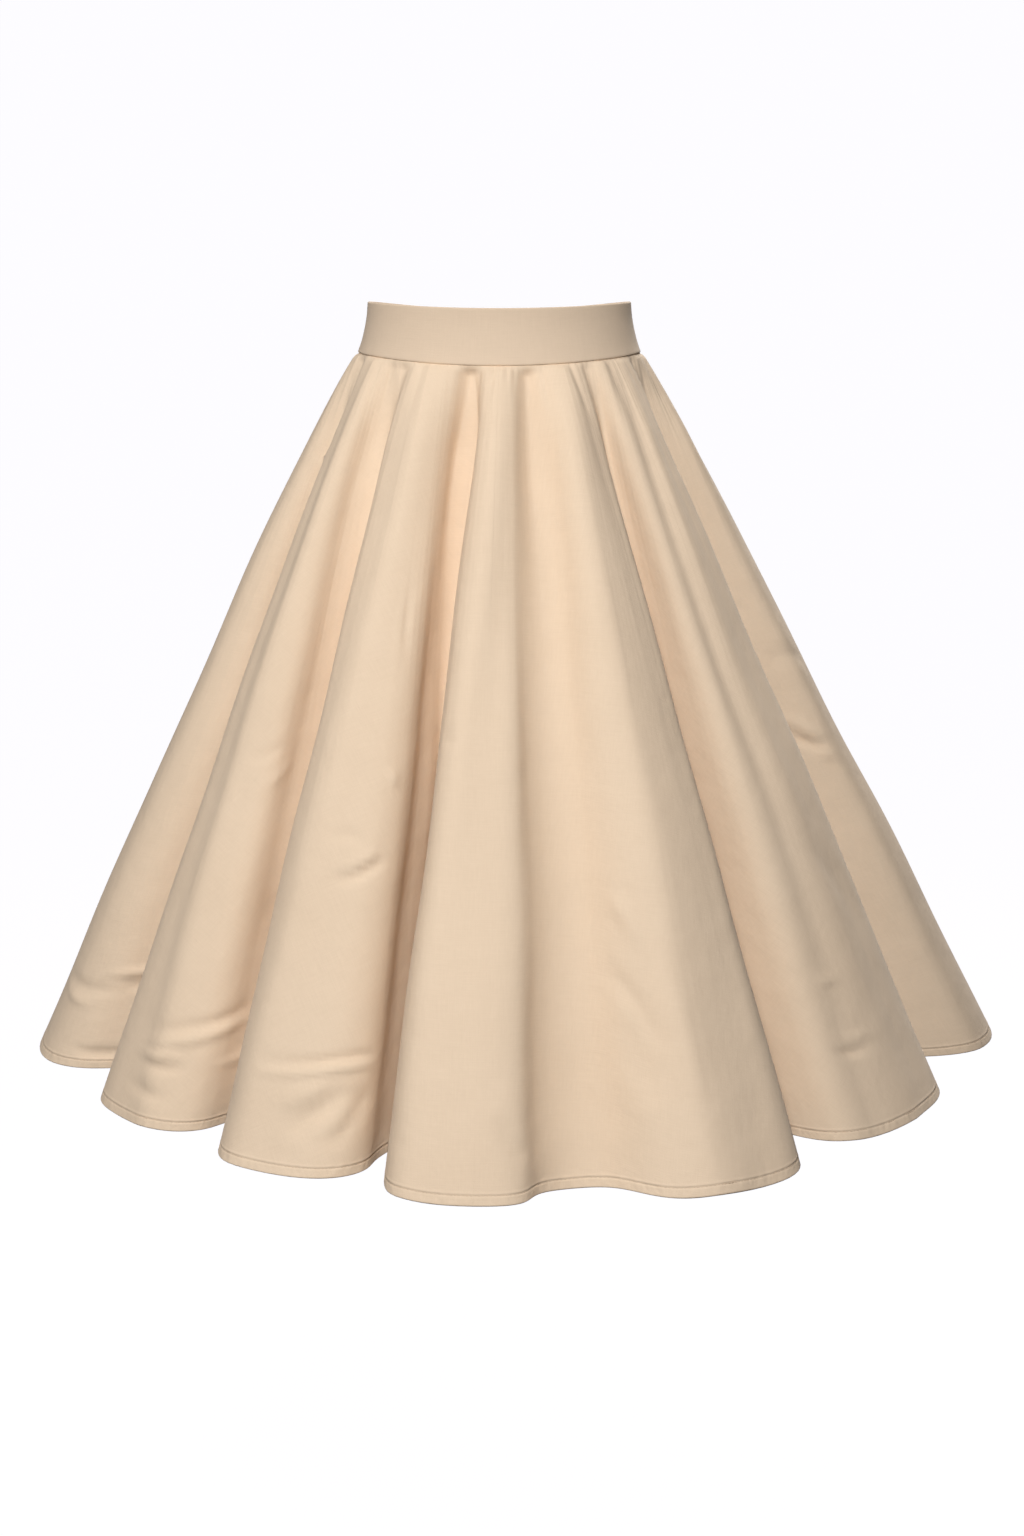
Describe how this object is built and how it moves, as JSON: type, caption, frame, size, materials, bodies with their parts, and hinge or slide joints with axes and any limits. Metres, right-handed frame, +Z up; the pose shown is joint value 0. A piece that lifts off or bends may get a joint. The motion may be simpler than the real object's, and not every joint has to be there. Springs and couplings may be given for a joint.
{
  "type": "circle skirt",
  "caption": "Flared full-circle skirt in plain woven cotton, filled out as if worn, with a wide fitted waistband, deep soft folds, a narrow turned-up hem and a concealed back zip.",
  "frame": {"origin": "middle of the waist, level with the highest points of the waistband's top edge", "axes": "+Z up, the front of the skirt faces -Y, +X to the right of someone looking at the front"},
  "size_m": [0.9081, 0.8895, 0.6911],
  "materials": {
    "cotton": "beige plain-woven cotton, matt with a faint sheen on the folds",
    "waistband_cotton": "the same beige cotton, double and stiffened, smooth",
    "zip_tape": "beige knitted polyester tape",
    "zip_coil": "beige nylon coil",
    "zip_metal": "zinc alloy lacquered to match the cloth"
  },
  "bodies": {
    "skirt": {"skirt_front": "cotton", "skirt_back_right": "cotton", "skirt_back_left": "cotton", "waistband_front": "waistband_cotton", "waistband_back_right": "waistband_cotton", "waistband_back_left": "waistband_cotton", "zip_tape_right": "zip_tape", "zip_tape_left": "zip_tape", "zip_coil": "zip_coil", "zip_slider": "zip_metal"},
    "pull": {"zip_pull": "zip_metal"}
  },
  "joints": [
    {"name": "pull_hinge", "type": "hinge", "parent": "skirt", "child": "pull", "pos_m": [0, 0.08665, -0.018], "axis": [1, 0, 0], "range_deg": [0, 150]}
  ]
}
